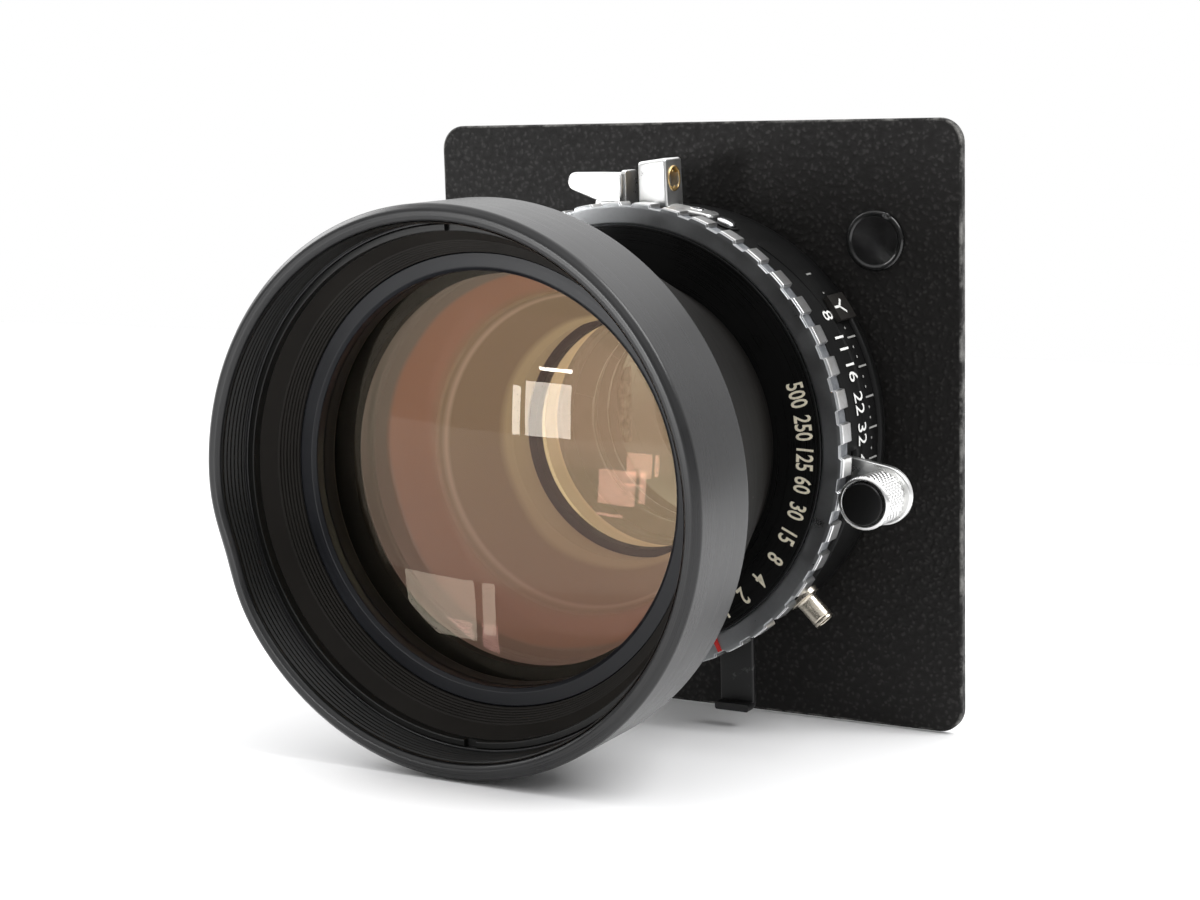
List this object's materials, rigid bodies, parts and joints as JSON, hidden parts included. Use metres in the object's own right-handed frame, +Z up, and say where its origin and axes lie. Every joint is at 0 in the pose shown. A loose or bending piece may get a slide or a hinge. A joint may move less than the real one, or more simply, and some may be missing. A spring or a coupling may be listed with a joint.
{
  "type": "lens and leaf shutter on a lens board",
  "caption": "Long-focus lens in a leaf shutter on a flat square lens board, with speed ring, aperture pointer, cocking knob, cable socket and flash terminal.",
  "frame": {"origin": "where the optical axis crosses the back face of the lens board", "axes": "+Y backwards along the optical axis into the camera, +Z up along the board's sides, the lens looks along -Y, +X to the right as seen from the front"},
  "size_m": [0.096, 0.1024, 0.099],
  "materials": {
    "board_crinkle": "black crinkle paint with fine specks",
    "plug_black": "glossy black",
    "black_anodised": "satin black anodised aluminium",
    "dial_black": "satin black enamel with pale figures",
    "chrome": "satin chrome",
    "face_grey": "satin grey",
    "steel": "turned steel",
    "brass": "turned brass",
    "nickel": "warm nickel plate",
    "insulator": "pale insulator",
    "baffle_black": "matt black with fine grooves",
    "clamp_satin": "satin blue-black",
    "glass": "coated optical glass",
    "leaf_steel": "blackened spring steel"
  },
  "bodies": {
    "base": {"aperture_scale": "dial_black", "baffle": "baffle_black", "board_plug": "plug_black", "cable_bush": "brass", "cable_socket": "chrome", "dial_plate": "dial_black", "dial_seat": "steel", "front_barrel": "black_anodised", "front_bush": "brass", "front_clamp": "clamp_satin", "front_glass": "glass", "front_spacer": "baffle_black", "hood_ring": "black_anodised", "inner_clamp": "baffle_black", "inner_glass": "glass", "jam_nut": "black_anodised", "lens_board": "board_crinkle", "mechanism_plate": "steel", "opener_pin": "steel", "plug_nut": "black_anodised", "rear_barrel": "black_anodised", "rear_clamp": "baffle_black", "rear_glass_1": "glass", "rear_glass_2": "glass", "rear_spacer": "baffle_black", "release_pin": "steel", "second_glass": "glass", "shutter_case": "black_anodised", "socket_screw": "steel", "sync_insulator": "insulator", "sync_pin": "brass", "sync_sleeve": "nickel"},
    "speed_ring": {"speed_ring": "chrome", "speed_face": "face_grey"},
    "aperture": {"aperture_lever": "black_anodised"},
    "shutter_drive": {"drive_ring": "steel"},
    "cocking": {"cocking_lever": "chrome", "cocking_knob": "chrome", "knob_cap": "black_anodised"},
    "release": {"release_lever": "chrome"},
    "opener": {"opener_lever": "black_anodised"},
    "button": {"lock_button": "chrome"},
    "iris_1": {"iris_leaf_1": "leaf_steel"},
    "iris_2": {"iris_leaf_2": "leaf_steel"},
    "iris_3": {"iris_leaf_3": "leaf_steel"},
    "iris_4": {"iris_leaf_4": "leaf_steel"},
    "iris_5": {"iris_leaf_5": "leaf_steel"},
    "iris_6": {"iris_leaf_6": "leaf_steel"},
    "iris_7": {"iris_leaf_7": "leaf_steel"},
    "shutter_1": {"shutter_leaf_1": "leaf_steel"},
    "shutter_2": {"shutter_leaf_2": "leaf_steel"},
    "shutter_3": {"shutter_leaf_3": "leaf_steel"},
    "shutter_4": {"shutter_leaf_4": "leaf_steel"},
    "shutter_5": {"shutter_leaf_5": "leaf_steel"}
  },
  "joints": [
    {"name": "speed_turn", "type": "hinge", "parent": "base", "child": "speed_ring", "pos_m": [0, -0.0234, 0], "axis": [0, -1, 0], "range_deg": [0, 79.4]},
    {"name": "aperture_turn", "type": "hinge", "parent": "base", "child": "aperture", "pos_m": [0, -0.0076, 0], "axis": [0, 1, 0], "range_deg": [0, 38]},
    {"name": "drive_turn", "type": "hinge", "parent": "base", "child": "shutter_drive", "pos_m": [0, -0.0111, 0], "axis": [0, -1, 0], "range_deg": [0, 20]},
    {"name": "cocking_swing", "type": "hinge", "parent": "base", "child": "cocking", "pos_m": [0, -0.0176, 0], "axis": [0, 1, 0], "range_deg": [0, 34], "stiffness_Nm_per_rad": 0.02, "springref_deg": -20.05},
    {"name": "release_swing", "type": "hinge", "parent": "base", "child": "release", "pos_m": [-0.0052, -0.0193, 0.0284], "axis": [0, -1, 0], "range_deg": [0, 7], "stiffness_Nm_per_rad": 0.02, "springref_deg": -14.32},
    {"name": "opener_swing", "type": "hinge", "parent": "base", "child": "opener", "pos_m": [0.0143, -0.0145, -0.0286], "axis": [0, 1, 0], "range_deg": [0, 16]},
    {"name": "button_press", "type": "slide", "parent": "base", "child": "button", "axis": [-0.3859, 0, -0.9225], "range_m": [0, 0.0007], "stiffness_N_per_m": 250, "springref_m": -0.0008},
    {"name": "iris_swing_1", "type": "hinge", "parent": "base", "child": "iris_1", "pos_m": [0.0246, -0.005, 0], "axis": [0, -1, 0], "range_deg": [0, 30]},
    {"name": "iris_swing_2", "type": "hinge", "parent": "base", "child": "iris_2", "pos_m": [0.01534, -0.005, 0.01923], "axis": [0, -1, 0], "range_deg": [0, 30]},
    {"name": "iris_swing_3", "type": "hinge", "parent": "base", "child": "iris_3", "pos_m": [-0.00547, -0.005, 0.02398], "axis": [0, -1, 0], "range_deg": [0, 30]},
    {"name": "iris_swing_4", "type": "hinge", "parent": "base", "child": "iris_4", "pos_m": [-0.02216, -0.005, 0.01067], "axis": [0, -1, 0], "range_deg": [0, 30]},
    {"name": "iris_swing_5", "type": "hinge", "parent": "base", "child": "iris_5", "pos_m": [-0.02216, -0.005, -0.01067], "axis": [0, -1, 0], "range_deg": [0, 30]},
    {"name": "iris_swing_6", "type": "hinge", "parent": "base", "child": "iris_6", "pos_m": [-0.00547, -0.005, -0.02398], "axis": [0, -1, 0], "range_deg": [0, 30]},
    {"name": "iris_swing_7", "type": "hinge", "parent": "base", "child": "iris_7", "pos_m": [0.01534, -0.005, -0.01923], "axis": [0, -1, 0], "range_deg": [0, 30]},
    {"name": "shutter_swing_1", "type": "hinge", "parent": "base", "child": "shutter_1", "pos_m": [0.02685, -0.0094, 0.0155], "axis": [0, -1, 0], "range_deg": [0, 36]},
    {"name": "shutter_swing_2", "type": "hinge", "parent": "base", "child": "shutter_2", "pos_m": [-0.00645, -0.0094, 0.03032], "axis": [0, -1, 0], "range_deg": [0, 36]},
    {"name": "shutter_swing_3", "type": "hinge", "parent": "base", "child": "shutter_3", "pos_m": [-0.03083, -0.0094, 0.00324], "axis": [0, -1, 0], "range_deg": [0, 36]},
    {"name": "shutter_swing_4", "type": "hinge", "parent": "base", "child": "shutter_4", "pos_m": [-0.01261, -0.0094, -0.02832], "axis": [0, -1, 0], "range_deg": [0, 36]},
    {"name": "shutter_swing_5", "type": "hinge", "parent": "base", "child": "shutter_5", "pos_m": [0.02304, -0.0094, -0.02074], "axis": [0, -1, 0], "range_deg": [0, 36]}
  ],
  "couplings": [
    {"joint": "iris_swing_1", "follows": "aperture_turn", "ratio": 0.7894},
    {"joint": "iris_swing_2", "follows": "aperture_turn", "ratio": 0.7894},
    {"joint": "iris_swing_3", "follows": "aperture_turn", "ratio": 0.7894},
    {"joint": "iris_swing_4", "follows": "aperture_turn", "ratio": 0.7894},
    {"joint": "iris_swing_5", "follows": "aperture_turn", "ratio": 0.7894},
    {"joint": "iris_swing_6", "follows": "aperture_turn", "ratio": 0.7894},
    {"joint": "iris_swing_7", "follows": "aperture_turn", "ratio": 0.7894},
    {"joint": "shutter_swing_1", "follows": "drive_turn", "ratio": 1.8},
    {"joint": "shutter_swing_2", "follows": "drive_turn", "ratio": 1.8},
    {"joint": "shutter_swing_3", "follows": "drive_turn", "ratio": 1.8},
    {"joint": "shutter_swing_4", "follows": "drive_turn", "ratio": 1.8},
    {"joint": "shutter_swing_5", "follows": "drive_turn", "ratio": 1.8}
  ]
}
